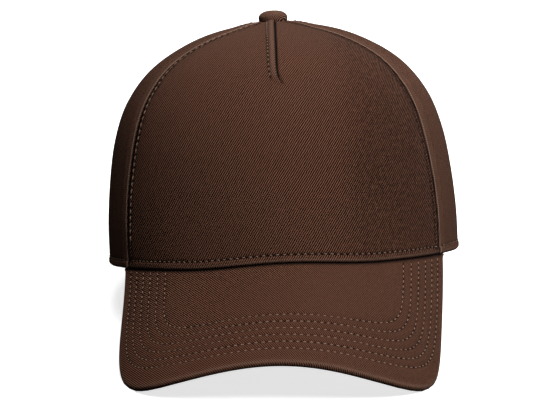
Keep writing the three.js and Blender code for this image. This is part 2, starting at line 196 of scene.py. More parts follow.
def spaced(line, count):
    run = run_along(line)
    return at_run(np.linspace(0, run[-1], count), run, line)


def even_line(line, step):
    return spaced(line, int(run_along(line)[-1] / step) + 2)


# Crown shape, the same as in the part's source
def section(column, u):
    values = CROWN_SECTIONS[column]
    last = len(values) - 1
    mirror = values[last - 1] if column == "height" else -values[last - 1]
    knots = np.array([2 * values[0] - values[1], *values, mirror])
    place = np.clip(u, 0.0, 1.0) * last
    i = np.minimum(np.floor(place).astype(int), last - 1)
    t = place - i
    before, p, q, after = (knots[i + k] for k in range(4))
    cubic = (-before + 3 * p - 3 * q + after) * t + (2 * before - 5 * p + 4 * q - after)
    return 0.5 * ((cubic * t + (q - before)) * t) + p


def section_at(column, value):
    value = np.asarray(value, float)
    low, high = np.zeros_like(value), np.ones_like(value)
    for _ in range(36):
        middle = (low + high) / 2
        below = (section(column, middle) < value) == (column == "height")
        low = np.where(below, middle, low)
        high = np.where(below, high, middle)
    return (low + high) / 2


def rim_rise(deg):
    share = np.minimum(1.0, np.abs(deg) / FOREHEAD_RISE_DEG)
    return FOREHEAD_RISE * np.cos(share * math.pi / 2) ** 2


def height_to_u(deg, above):
    return section_at("height", above / (CROWN_HEIGHT - rim_rise(deg)))


def front_seam_deg(u):
    return FRONT_SEAM_DEG - SEAM_SWING_DEG * smooth_step(SEAM_SWING_FROM_U, SEAM_SWING_TO_U, u)


def turn_of(deg, u):
    """The angle round the crown of a place on the cloth, where each seam keeps its angle at the rim."""
    seam = front_seam_deg(u)
    away = np.abs(deg)
    share = (away - FRONT_SEAM_DEG) / (BACK_SEAM_DEG - FRONT_SEAM_DEG)
    side = np.sign(deg) * mix(seam, BACK_SEAM_DEG, share)
    rest = np.where(away >= BACK_SEAM_DEG, deg, side)
    return np.radians(np.where(away <= FRONT_SEAM_DEG, deg * seam / FRONT_SEAM_DEG, rest))


def crown_skin(deg, u):
    deg, u = np.broadcast_arrays(np.asarray(deg, float), np.asarray(u, float))
    turn = turn_of(deg, u)
    forward = np.cos(turn)
    reach = np.where(forward > 0, section("front", u), section("back", u)) * HALF_LENGTH
    height = section("height", u)
    return np.stack([
        section("side", u) * HALF_WIDTH * np.sin(turn),
        -reach * forward,
        height * CROWN_HEIGHT + rim_rise(deg) * (1 - height),
    ], axis=-1)


def unit(vectors):
    return vectors / np.linalg.norm(vectors, axis=-1, keepdims=True)


def crown_normal(deg, u):
    low = np.maximum(0.0, u - 0.004)
    high = np.minimum(0.998, u + 0.004)
    across = crown_skin(deg + 0.5, u) - crown_skin(deg - 0.5, u)
    return unit(np.cross(across, crown_skin(deg, high) - crown_skin(deg, low)))


def crown_stretch(deg, u):
    """Millimetres round the crown for each degree."""
    return np.linalg.norm(crown_skin(deg + 0.5, u) - crown_skin(deg - 0.5, u), axis=-1)


def round_distance(deg, seam, u):
    return np.abs(deg - seam) * crown_stretch((deg + seam) / 2, u)


TOP_U = float(section_at("side", TOP_HOLE_RADIUS / HALF_WIDTH))
SEAMS = (-BACK_SEAM_DEG, -FRONT_SEAM_DEG, FRONT_SEAM_DEG, BACK_SEAM_DEG, 180.0, -180.0)


def seam_radius(u):
    return np.minimum(section("side", u) * HALF_WIDTH, section("front", u) * HALF_LENGTH)


def seam_valley(deg, u):
    radius = seam_radius(u)
    turns = np.min([np.abs(deg - seam) for seam in SEAMS], axis=0)
    dip = hill(np.radians(turns) * radius, 0.0, SEAM_SPREAD)
    above_band = smooth_step(BAND_HEIGHT, 2 * BAND_HEIGHT, section("height", u) * CROWN_HEIGHT)
    clear = smooth_step(BUTTON_DIAMETER / 2, BUTTON_DIAMETER * 2, radius)
    return SEAM_VALLEY * dip * above_band * clear


def crown_point(deg, u, depth):
    into = np.asarray(depth) + seam_valley(deg, u)
    return crown_skin(deg, u) - crown_normal(deg, u) * into[..., None]


def roll(p):
    back = smooth_step(HALF_LENGTH, 0.0, p[..., 1])
    down = smooth_step(-ROLL_FADE_DEPTH, 0.0, p[..., 2])
    twist = math.tan(math.radians(CROWN_ROLL_DEG)) * back * down
    drift = PEAK_DRIFT * smooth_step(0.0, -ROLL_FADE_DEPTH, p[..., 2])
    x = p[..., 0] - twist * np.maximum(0.0, p[..., 2]) - drift
    return np.stack([x, p[..., 1], p[..., 2] + twist * p[..., 0]], axis=-1)


# Peak shape, the same as in the part's source
PEAK_START = crown_skin(0, 0) - np.array([0.0, 0.0, PEAK_CLEARANCE])


def peak_root(deg):
    offset = crown_skin(deg, 0.0) - crown_skin(0, 0)
    return offset[..., 0], -(offset @ PEAK_UP), offset @ PEAK_ALONG


BEND_DEG = np.linspace(0.0, PEAK_END_DEG, 121)
BEND_ROUND = run_along(np.stack(peak_root(BEND_DEG)[:2], axis=-1))
PEAK_HALF_ROUND = BEND_ROUND[-1]
BEND_SLOPE = (BEND_DEG[-1] - BEND_DEG[-2]) / (BEND_ROUND[-1] - BEND_ROUND[-2])


def bend_deg(around):
    inside = np.interp(np.abs(around), BEND_ROUND, BEND_DEG)
    over = np.maximum(0.0, np.abs(around) - PEAK_HALF_ROUND) * BEND_SLOPE
    return np.sign(around) * (inside + over)


def peak_frame(around):
    """The place across the bend and the outward direction of the peak's upper face."""
    deg = bend_deg(around)
    x, drop, _ = peak_root(deg)
    left_x, left_drop, _ = peak_root(deg - 0.5)
    right_x, right_drop, _ = peak_root(deg + 0.5)
    run, fall = right_x - left_x, right_drop - left_drop
    length = np.hypot(run, fall)
    normal = PEAK_UP * (run / length)[..., None]
    normal[..., 0] = fall / length
    return x, drop, normal


def peak_point(around, along, depth):
    x, drop, normal = peak_frame(around)
    point = PEAK_START + PEAK_ALONG * np.asarray(along)[..., None] - PEAK_UP * drop[..., None]
    point[..., 0] += x
    return point - normal * np.asarray(depth)[..., None]


def peak_edge(share):
    bulge = (1 - np.abs(share) ** PEAK_CORNER_POWER) ** (1 / PEAK_CORNER_POWER)
    return share * PEAK_HALF_ROUND, mix(-PEAK_WIDEST_BACK, PEAK_LENGTH, bulge)


# Laying it on the table
def lowest(points, pitch):
    return np.min(points[:, 1] * math.sin(pitch) + points[:, 2] * math.cos(pitch))


def resting_place():
    around, along = peak_edge(np.linspace(-1, 1, 121))
    peak_feet = roll(peak_point(around, along, np.full(121, PEAK_THICKNESS / 2)))
    rim_feet = roll(crown_skin(np.linspace(120, 240, 121), height_to_u(180.0, STRAP_RISE)))
    low, high = math.radians(-60), math.radians(60)
    for _ in range(50):
        middle = (low + high) / 2
        if lowest(peak_feet, middle) < lowest(rim_feet, middle):
            high = middle
        else:
            low = middle
    pitch = (low + high) / 2
    return pitch, -lowest(peak_feet, pitch) - FLOOR_PRESS


PITCH, LIFT = resting_place()


def lay(points):
    p = roll(points)
    cos, sin = math.cos(PITCH), math.sin(PITCH)
    y = p[..., 1] * cos - p[..., 2] * sin
    z = p[..., 1] * sin + p[..., 2] * cos + LIFT
    return np.stack([p[..., 0], y, z], axis=-1)


# The CAD has its origin under the middle of the cap. The front panel's corners say where that is.
def origin_shift():
    rows = np.linspace(0.0, TOP_U, 14)
    degs = FRONT_SEAM_DEG * np.sin(np.linspace(-math.pi / 2, math.pi / 2, 29))
    deg, u = np.meshgrid(degs, rows)
    both = np.concatenate([lay(crown_point(deg, u, np.full(deg.shape, d))).reshape(-1, 3)
                           for d in (0.0, FRONT_WALL)])
    own = (both.min(axis=0) + both.max(axis=0)) / 2
    low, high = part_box("front_panel")
    cad = (np.array(low) + np.array(high)) / 2 / METRES
    return np.array([cad[0] - own[0], cad[1] - own[1], 0.0])


SHIFT = origin_shift()


def to_scene(points):
    placed = (lay(points) + SHIFT) * METRES
    placed[..., 2] = np.maximum(placed[..., 2], 0.0)
    return placed


# Smooth seeded noise from about -1 to 1, at a size in millimetres
NOISE_CELLS = 32
noise_lattice = rng.uniform(-1, 1, (NOISE_CELLS,) * 3)


def soft_noise(points, size):
    place = np.asarray(points) / size + 7.3
    cell = np.floor(place).astype(int)
    t = place - cell
    t = t * t * (3 - 2 * t)
    total = 0.0
    for corner in range(8):
        pick = [(corner >> axis) & 1 for axis in range(3)]
        weight = np.prod([t[..., a] if pick[a] else 1 - t[..., a] for a in range(3)], axis=0)
        i, j, k = (np.mod(cell[..., a] + pick[a], NOISE_CELLS) for a in range(3))
        total = total + weight * noise_lattice[i, j, k]
    return total


def nearest(points, line, block=4000):
    """Distance from each point to a polyline's points, and the place along it."""
    run = run_along(line)
    flat = points.reshape(-1, points.shape[-1])
    off, place = np.empty(len(flat)), np.empty(len(flat))
    for start in range(0, len(flat), block):
        part = flat[start:start + block]
        squares = ((part[:, None, :] - line[None, :, :]) ** 2).sum(axis=-1)
        pick = squares.argmin(axis=1)
        off[start:start + block] = np.sqrt(squares[np.arange(len(part)), pick])
        place[start:start + block] = run[pick]
    return off.reshape(points.shape[:-1]), place.reshape(points.shape[:-1])


# Meshes
def make_mesh(name, points, quads, uv, attributes, flat_from, material, node=None):
    """points are in metres. Faces from flat_from on are shaded flat."""
    mesh = bpy.data.meshes.new(name)
    quads = np.asarray(quads, np.int32)
    mesh.vertices.add(len(points))
    mesh.vertices.foreach_set("co", np.asarray(points, np.float32).ravel())
    sides = quads.shape[1]
    mesh.loops.add(quads.size)
    mesh.loops.foreach_set("vertex_index", quads.ravel())
    mesh.polygons.add(len(quads))
    mesh.polygons.foreach_set("loop_start", np.arange(0, quads.size, sides, dtype=np.int32))
    mesh.polygons.foreach_set("loop_total", np.full(len(quads), sides, np.int32))
    mesh.update()
    mesh.polygons.foreach_set("use_smooth", np.arange(len(quads)) < flat_from)
    layer = mesh.uv_layers.new(name="cloth")
    layer.data.foreach_set("uv", np.asarray(uv, np.float32)[quads.ravel()].ravel())
    for key, values in attributes.items():
        attribute = mesh.attributes.new(key, "FLOAT", "POINT")
        attribute.data.foreach_set("value", np.asarray(values, np.float32).ravel())
    mesh.materials.append(material)
    mesh.validate()
    piece = bpy.data.objects.new(name, mesh)
    bpy.context.scene.collection.objects.link(piece)
    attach(piece, "root")
    if node:
        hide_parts(node)
    return piece


def grid_quads(columns, rows, offset=0, flip=False):
    i, j = np.meshgrid(np.arange(columns - 1), np.arange(rows - 1), indexing="ij")
    a = (i * rows + j).ravel() + offset
    corners = [a, a + rows, a + rows + 1, a + 1]
    return np.stack(corners[::-1] if flip else corners, axis=-1)


def plate_quads(columns, rows):
    """A closed plate between two grids of points, each listed column by column. Walls come last."""
    size = columns * rows
    outer = grid_quads(columns, rows)
    inner = grid_quads(columns, rows, size, flip=True)
    along = np.concatenate([
        np.arange(columns) * rows,
        (columns - 1) * rows + np.arange(1, rows),
        np.arange(columns - 2, -1, -1) * rows + rows - 1,
        np.arange(rows - 2, 0, -1),
    ])
    after = np.roll(along, -1)
    walls = np.stack([along, along + size, after + size, after], axis=-1)
    return np.concatenate([outer, inner, walls]), len(outer) + len(inner)


def make_plate(name, node, faces, cloth, marks, material, flip=False, flat_walls=False):
    """A closed plate between two faces. Each is a grid of points with its own marks."""
    quads, wall_from = plate_quads(*faces[0].shape[:2])
    if flip:
        quads = quads[:, ::-1]
    points = np.concatenate([to_scene(face).reshape(-1, 3) for face in faces])
    uv = np.tile(cloth.reshape(-1, 2) * METRES, (2, 1))
    attributes = {key: np.concatenate([side[key].ravel() for side in marks]) for key in marks[0]}
    flat_from = wall_from if flat_walls else len(quads)
    return make_mesh(name, points, quads, uv, attributes, flat_from, material, node)


def run_steps(longest):
    """Distances from 0 to longest that start fine and grow coarse."""
    places, step = [0.0], FINE_STEP
    while places[-1] + step < longest:
        places.append(places[-1] + step)
        step = min(COARSE_STEP, step * STEP_GROWTH)
    places[-1] = longest
    return np.array(places)


def squeezed(places, length):
    """Those distances fitted into a shorter length, with the first ones kept."""
    longest = places[-1]
    return places / (1 + (longest / length - 1) * places / longest)


def column_degs(breaks, us):
    """Angles of a panel's columns at each u, fine at every break."""
    dense = [np.linspace(a, b, 81) for a, b in zip(breaks, breaks[1:])]
    arcs = [np.array([run_along(row) for row in crown_skin(degs[None, :], us[:, None])])
            for degs in dense]
    runs = [run_steps(arc[:, -1].max() / 2) for arc in arcs]
    table = []
    for row in range(len(us)):
        line = []
        for degs, arc, places in zip(dense, arcs, runs):
            length = arc[row, -1]
            half = squeezed(places, length / 2)
            across = np.concatenate([half, (length - half[::-1])[1:]])
            line.extend(np.interp(across, arc[row], degs)[0 if not line else 1:])
        table.append(line)
    return np.array(table).T


def lower_edge(deg):
    """Height of a panel's lower edge above the rim."""
    across = np.abs(HALF_WIDTH * np.sin(np.radians(deg))) / (OPENING_WIDTH / 2)
    arch = OPENING_HEIGHT * np.sqrt(np.clip(1 - across ** 2, 0.0, 1.0))
    return np.where(np.cos(np.radians(deg)) > 0, 0.0, arch)


def meridian(deg, top_u):
    """u and distance from the rim up one column."""
    us = np.linspace(0.0, top_u, 400)
    return us, run_along(crown_skin(deg, us))


# The dart
DART_START_U = float(section_at("front", (BUTTON_DIAMETER / 2 - DART_UNDER_BUTTON) / HALF_LENGTH))
DART_US = np.linspace(DART_START_U, 0.0, 600)
DART_RUN = run_along(crown_skin(0.0, DART_US))
DART_WHOLE = DART_LENGTH + DART_UNDER_BUTTON


def dart_share(u):
    """1 where the dart leaves the button and 0 at its lower end."""
    return 1 - np.interp(-u, -DART_US, DART_RUN) / DART_WHOLE


def dart_line(share):
    """Distance of the fold from the middle of the panel."""
    return 0.4 + DART_DRIFT * np.clip(1 - share, 0.0, 1.05) ** DART_DRIFT_POWER


def dart_height(across, share):
    """The height of the tuck, and the painted shadow line beside its fold."""
    x = across - dart_line(share)
    fade = smooth_step(-0.03, 0.03, share)
    width = DART_WIDTH * mix(0.5, 1.0, np.clip(share * 5, 0, 1))
    tuck = smooth_step(-width - 1.8, -width + 1.6, x) * smooth_step(0.1, -0.4, x)
    crease_and_painted_shade = hill(x, 0.35, 0.55)
    line = smooth_step(-0.25, 0.0, x) * smooth_step(1.1, 0.7, x)
    return fade * (DART_HEIGHT * tuck - DART_CREASE_DEPTH * crease_and_painted_shade), fade * line


# Distance up each seam from the rim, which the stitches and the marks under them share
SEAM_RUNS = {seam: meridian(seam, 1.0) for seam in (FRONT_SEAM_DEG, BACK_SEAM_DEG, 180.0)}


def seam_run(seam, u):
    us, run = SEAM_RUNS[abs(seam)]
    return np.interp(u, us, run)


def swell(skin):
    return soft_noise(skin + 40, SWELL_SIZE)


# How far a panel's face lies under the plain crown, and the sewing marks on it, with painted shade and
# painted highlights
def sewn_face(deg, u, first, last, edge_line, dart=False):
    """The front panel, with the dart, lies under its neighbours, whose seam allowance is folded back."""
    skin = crown_skin(deg, u)
    to_first = round_distance(deg, first, u)
    to_last = round_distance(deg, last, u)
    to_seam = np.minimum(to_first, to_last)
    at_front = np.where(to_first < to_last, abs(first), abs(last)) == FRONT_SEAM_DEG
    to_edge, edge_run = nearest(skin, edge_line)
    clear = smooth_step(5.0, 12.0, seam_radius(u))
    if dart:
        sewn, edge_light, allowance = 1.0, 0.0, 0.0
        welt = FRONT_EDGE_WELT * hill(to_seam, 2.6, 0.8)
        seam_fold = FRONT_EDGE_DIP * smooth_step(1.9, 0.7, to_seam) - welt * clear
        # Painted shade: a dark line along the front panel's seams, where the overlap casts its shadow.
        line = smooth_step(1.1, 0.6, to_seam)
    else:
        sewn = 1.0 - at_front
        outside = smooth_step(ALLOWANCE_WIDTH + 0.6, ALLOWANCE_WIDTH - 0.5, to_seam)
        band = ALLOWANCE_RISE * smooth_step(0.1, 0.9, to_seam) * outside
        roll_radius = np.where(at_front, 0.5 * EDGE_ROLL, EDGE_ROLL)
        seam_fold = rolled_edge(to_seam, roll_radius) - band * clear
        # Painted shade: dark lines along the seams, where the seam ditch is in shadow.
        line = np.where(at_front, smooth_step(0.5, 0.25, to_seam), hill(to_seam, 0.0, 0.5))
        # Painted highlight: a light line where the side panel's edge catches the light, and a lighter band
        # over the folded-back seam allowance where it faces the light.
        edge_light = 1.2 * at_front * hill(to_seam, 0.66, 0.2)
        allowance = 0.08 * at_front * smooth_step(0.6, 1.2, to_seam) * smooth_step(6.8, 6.0, to_seam)
    groove = GROOVE_DEPTH * hill(to_seam, SEAM_ROW_OFF, GROOVE_WIDTH) * clear * sewn
    groove = groove + HEM_GROOVE_DEPTH * hill(to_edge, HEM_ROW_OFF, GROOVE_WIDTH)
    hem_fold = smooth_step(0.2, 1.2, to_edge) * smooth_step(HEM_ROW_OFF, HEM_ROW_OFF - 1.4, to_edge)
    pull_and_painted_row_shade = hill(to_seam, 3.0, 2.6) * clear + hill(to_edge, 4.0, 2.4)
    uneven = PUCKER_DEPTH * soft_noise(skin, PUCKER_SIZE) * pull_and_painted_row_shade
    uneven = uneven + SWELL_DEPTH * swell(skin) * smooth_step(4.0, 20.0, to_edge) * clear
    depth = seam_fold + rolled_edge(to_edge, 0.7 * EDGE_ROLL) + groove - HEM_FOLD_RISE * hem_fold + uneven
    seam_off = np.abs(to_seam - SEAM_ROW_OFF) + (1 - clear) * 5 + (1 - sewn) * OFF_ROW
    hem_off = np.abs(to_edge - HEM_ROW_OFF)
    up_run = np.where(to_first < to_last, seam_run(first, u), seam_run(last, u))
    row_off = np.minimum(seam_off, hem_off)
    row_run = np.where(seam_off < hem_off, up_run, edge_run)
    # Painted shade along the seams and under the hem's lower edge, where shadow falls.
    crease_and_painted_shade = np.maximum(line, 0.8 * hill(to_edge, 0.0, 0.4))
    # Painted highlight along the hem's rolled edge and on the seam edges.
    painted_highlight = np.maximum(edge_light, np.maximum(allowance, 0.35 * hill(to_edge, 1.2, 0.7)) * clear)
    if dart:
        across = np.sign(deg) * round_distance(deg, 0.0, u)
        share = dart_share(u)
        height, painted_fold_shadow = dart_height(across, share)
        depth = depth - height
        # Painted shadow in the dart's fold.
        crease_and_painted_shade = np.maximum(crease_and_painted_shade, painted_fold_shadow)
        dart_off = np.abs(across - dart_line(share) + DART_ROW_OFF)
        dart_off = dart_off + OFF_ROW * ((share < 0.03) | (share > 0.93))
        closer = dart_off < row_off
        row_off = np.where(closer, dart_off, row_off)
        row_run = np.where(closer, (1 - share) * DART_LENGTH, row_run)
        # Painted highlight along the ridge of the tuck.
        ridge = hill(across - dart_line(share), -1.6, 1.1) * smooth_step(-0.02, 0.1, share)
        painted_highlight = np.maximum(painted_highlight, 0.3 * ridge)
    return depth, dict(row_off=row_off, row_run=row_run, crease_and_painted_shade=crease_and_painted_shade, painted_highlight=painted_highlight)


def edge_of(first, last):
    degs = np.linspace(first, last, 900)
    return spaced(crown_skin(degs, height_to_u(degs, lower_edge(degs))), 700)


def panel(name, node, breaks, wall, material, dart=False, mirror=False):
    """A panel between seams at the first and last of the breaks, in degrees round the rim."""
    us, run = meridian((breaks[0] + breaks[-1]) / 2, TOP_U)
    row_us = np.interp(run_steps(run[-1]), run, us)
    degs = column_degs(breaks, row_us)
    start = height_to_u(degs, lower_edge(degs))
    u = start + (TOP_U - start) * row_us[None, :] / TOP_U
    first, last = breaks[0], breaks[-1]
    inset = SEAM_GAP / np.maximum(crown_stretch(degs, u), 1e-6)
    degs = np.clip(degs, first + inset, last - inset)
    depth, marks = sewn_face(degs, u, first, last, edge_of(first, last), dart)
    under = wall + INNER_SWELL_DEPTH * swell(crown_skin(degs, u))
    faces = [crown_point(degs, u, depth), crown_point(degs, u, under)]
    middle = (first + last) / 2
    cloth_x = np.sign(degs - middle) * round_distance(degs, middle, u)
    cloth = np.stack([cloth_x, np.interp(u, us, run)], axis=-1)
    plain = np.zeros(degs.shape)
    # The inner face carries the outer face's painted shade.
    inside = dict(row_off=plain + OFF_ROW, row_run=plain, crease_and_painted_shade=marks["crease_and_painted_shade"], painted_highlight=plain)
    marks = [marks, inside]
    if mirror:
        faces = [face[::-1] * (-1, 1, 1) for face in faces]
        cloth = cloth[::-1] * (-1, 1)
        marks = [{key: values[::-1] for key, values in side.items()} for side in marks]
    return make_plate(name, node, faces, cloth, marks, material, flat_walls=True)


# Stitches: short threads that dip into the cloth at both ends, joined into one mesh. Each ring of a
# thread has a place along it, a height over the cloth and a width.
STITCH_BODY = ((-1.0, -0.32, 0.35), (-0.62, 0.02, 0.9), (0.0, 0.2, 1.0), (0.62, 0.02, 0.9),
               (1.0, -0.32, 0.35))
STITCH_SIDES = 6
STITCH_LOOK_AHEAD = 0.6


def stitches(name, rows, material):
    """rows are lists of (points, outward directions, run) in the cap's own millimetres."""
    turn = np.linspace(0, 2 * math.pi, STITCH_SIDES, endpoint=False)
    rings = len(STITCH_BODY)
    points, quads, uv = [], [], []
    count = 0
    for line, outward, run in rows:
        if run[0] > run[-1]:
            line, outward, run = line[::-1], outward[::-1], run[::-1]
        first = math.ceil(run[0] / STITCH_PITCH)
        last = math.floor(run[-1] / STITCH_PITCH)
        for place in (np.arange(first, last) + 0.5) * STITCH_PITCH:
            long = STITCH_LENGTH * rng.uniform(0.9, 1.06)
            side_slip = rng.uniform(-0.06, 0.06)
            lift = rng.uniform(-0.03, 0.03)
            ahead = at_run(place + STITCH_LOOK_AHEAD, run, line)
            behind = at_run(place - STITCH_LOOK_AHEAD, run, line)
            up = unit(at_run(place, run, outward))
            side = unit(np.cross(unit(ahead - behind), up))
            for offset, height, width in STITCH_BODY:
                ring_off = offset * long / 2
                at = at_run(place + ring_off, run, line) + up * (height + lift) + side * side_slip
                for angle in turn:
                    round_it = side * math.cos(angle) + up * math.sin(angle)
                    points.append(at + round_it * THREAD_RADIUS * width)
                    uv.append((ring_off * METRES, angle * THREAD_RADIUS * METRES))
            for ring in range(rings - 1):
                for k in range(STITCH_SIDES):
                    a = count + ring * STITCH_SIDES + k
                    b = count + ring * STITCH_SIDES + (k + 1) % STITCH_SIDES
                    quads.append((a, b, b + STITCH_SIDES, a + STITCH_SIDES))
            far = count + (rings - 1) * STITCH_SIDES
            for end, order in ((count, (0, 5, 4, 3)), (count, (0, 3, 2, 1)),
                               (far, (0, 1, 2, 3)), (far, (0, 3, 4, 5))):
                quads.append(tuple(end + k for k in order))
            count += rings * STITCH_SIDES
    return make_mesh(name, to_scene(np.array(points)), quads, uv, {}, len(quads), material)


def crown_row(degs, us, first, last, dart=False):
    """A line on a panel's sewn face, with its outward directions and the run of the marks under it."""
    depth, marks = sewn_face(degs, us, first, last, edge_of(first, last), dart)
    middle = len(degs) // 2
    run = marks["row_run"]
    grows = run[middle + 1] > run[middle]
    run = np.maximum.accumulate(run) if grows else np.minimum.accumulate(run)
    return crown_point(degs, us, depth), crown_normal(degs, us), run


def seam_row(seam, into, first, last, low=SEAM_ROW_LOW):
    """A row of stitches beside a seam. into is +1 where the panel lies at larger angles."""
    high_u = float(section_at("side", SEAM_ROW_TOP_RADIUS / HALF_WIDTH))
    us = np.linspace(float(height_to_u(seam, low)), high_u, 260)
    degs = seam + into * SEAM_ROW_OFF / crown_stretch(np.full(us.shape, seam), us)
    return crown_row(degs, us, first, last)


def hem_row(first, last, end=None):
    """A row over a panel's hem, as far as end in degrees or else its last seam."""
    degs = np.linspace(first + HEM_ROW_INSET_DEG, end or last - HEM_ROW_INSET_DEG, 300)
    us = height_to_u(degs, np.full(degs.shape, HEM_ROW_OFF))
    return crown_row(degs, us, first, last)


def arch_row(first, last):
    turns = np.linspace(0.06, math.pi / 2 - 0.01, 160)
    x = (OPENING_WIDTH / 2 + HEM_ROW_OFF) * np.cos(turns)
    height = (OPENING_HEIGHT + HEM_ROW_OFF) * np.sin(turns)
    degs = 180 - np.degrees(np.arcsin(x / HALF_WIDTH))
    return crown_row(degs, height_to_u(degs, height), first, last)


def dart_row():
    share = np.linspace(0.04, 0.92, 120)
    us = np.interp((1 - share) * DART_WHOLE, DART_RUN, DART_US)
    across = dart_line(share) - DART_ROW_OFF
    degs = across / crown_stretch(np.zeros(us.shape), us)
    return crown_row(degs, us, -FRONT_SEAM_DEG, FRONT_SEAM_DEG, dart=True)


def mirrored_row(row):
    line, outward, run = row
    return line * (-1, 1, 1), outward * (-1, 1, 1), run


# Material helpers
def new_material(name):
    material = bpy.data.materials.new(name)
    material.use_nodes = True
    nodes = material.node_tree.nodes
    nodes.clear()
    output = nodes.new("ShaderNodeOutputMaterial")
    shader = nodes.new("ShaderNodeBsdfPrincipled")
    material.node_tree.links.new(shader.outputs["BSDF"], output.inputs["Surface"])
    return material, shader


def set_inputs(node, values):
    for key, value in values.items():
        node.inputs[key].default_value = value


class Graph:
    """Short calls for building a material's nodes."""

    def __init__(self, material):
        self.nodes = material.node_tree.nodes
        self.links = material.node_tree.links

    def put(self, value, socket):
        if isinstance(value, bpy.types.NodeSocket):
            self.links.new(value, socket)
        else:
            socket.default_value = value

    def math(self, operation, a, b=0.0, c=0.0):
        node = self.nodes.new("ShaderNodeMath")
        node.operation = operation
        for value, socket in zip((a, b, c), node.inputs):
            self.put(value, socket)
        return node.outputs[0]

    def add_uneven(self, value, source, amount):
        """The value plus amount times how far a source from 0 to 1 is over its middle."""
        return self.math("MULTIPLY_ADD", self.math("SUBTRACT", source, 0.5), amount, value)

    def wave(self, turns):
        """A sine from 0 to 1 that repeats at each whole turn."""
        sine = self.math("SINE", self.math("MULTIPLY", turns, TWO_PI))
        return self.math("MULTIPLY_ADD", sine, 0.5, 0.5)

    def beat(self, run, pitch):
        """0 in the middle of each pitch along the run, and 0.5 at its ends."""
        place = self.math("FRACT", self.math("DIVIDE", run, pitch))
        return self.math("ABSOLUTE", self.math("SUBTRACT", place, 0.5))

    def limit(self, value):
        return self.math("MAXIMUM", self.math("MINIMUM", value, 1.0), 0.0)

    def attribute(self, name):
        node = self.nodes.new("ShaderNodeAttribute")
        node.attribute_name = name
        return node.outputs["Fac"]

    def cloth(self):
        node = self.nodes.new("ShaderNodeUVMap")
        node.uv_map = "cloth"
        split = self.nodes.new("ShaderNodeSeparateXYZ")
        self.links.new(node.outputs["UV"], split.inputs[0])
        return node.outputs["UV"], split.outputs["X"], split.outputs["Y"]

    def noise(self, vector, scale, detail=2.0, roughness=0.5):
        node = self.nodes.new("ShaderNodeTexNoise")
        self.links.new(vector, node.inputs["Vector"])
        set_inputs(node, {"Scale": scale, "Detail": detail, "Roughness": roughness})
        return node.outputs["Fac"]

    def place(self):
        return self.nodes.new("ShaderNodeTexCoord").outputs["Object"]

    def blend(self, share, a, b):
        node = self.nodes.new("ShaderNodeMix")
        node.data_type = "RGBA"
        self.put(share, node.inputs["Factor"])
        self.put(a, node.inputs["A"])
        self.put(b, node.inputs["B"])
        return node.outputs["Result"]

    def window(self, value, low, high, to_low=0.0, to_high=1.0):
        node = self.nodes.new("ShaderNodeMapRange")
        node.interpolation_type = "SMOOTHSTEP"
        for item, key in ((value, "Value"), (low, "From Min"), (high, "From Max"),
                          (to_low, "To Min"), (to_high, "To Max")):
            self.put(item, node.inputs[key])
        return node.outputs["Result"]

    def bump(self, height, distance):
        node = self.nodes.new("ShaderNodeBump")
        set_inputs(node, {"Strength": 1.0, "Distance": distance})
        self.links.new(height, node.inputs["Height"])
        return node.outputs["Normal"]


# Twill: how many times each kind of unevenness repeats in a metre, and the strengths of the ribs
TWO_PI = 2 * math.pi
WARP_SCALE = 420.0
SLOW_SCALE = 45.0
GRAIN_SCALE = 1500.0
SLUB_SCALE = 520.0
CLOUD_SCALE = 16.0
BEAD_ACROSS = 0.55
BEAD_ALONG = 1.25
RIB_CONTRAST = 3.6
RIB_FADE_WIDTH = 0.05
FOLD_PITCH = 1.1

LIGHT_BROWN = (0.178, 0.078, 0.047, 1.0)
DARK_BROWN = (0.004, 0.0013, 0.0008, 1.0)
PEAK_BROWN = (0.148, 0.063, 0.037, 1.0)
BUTTON_BROWN = (0.27, 0.135, 0.09, 1.0)
# The next two are painted colours: a light brown for painted highlights, and a near-black for painted shade
# and shadows.
PAINTED_HIGHLIGHT_BROWN = (0.32, 0.2, 0.15, 1.0)
PAINTED_SHADE_BROWN = (0.0015, 0.0006, 0.0004, 1.0)
SHEEN_TINT = (0.95, 0.78, 0.68, 1.0)


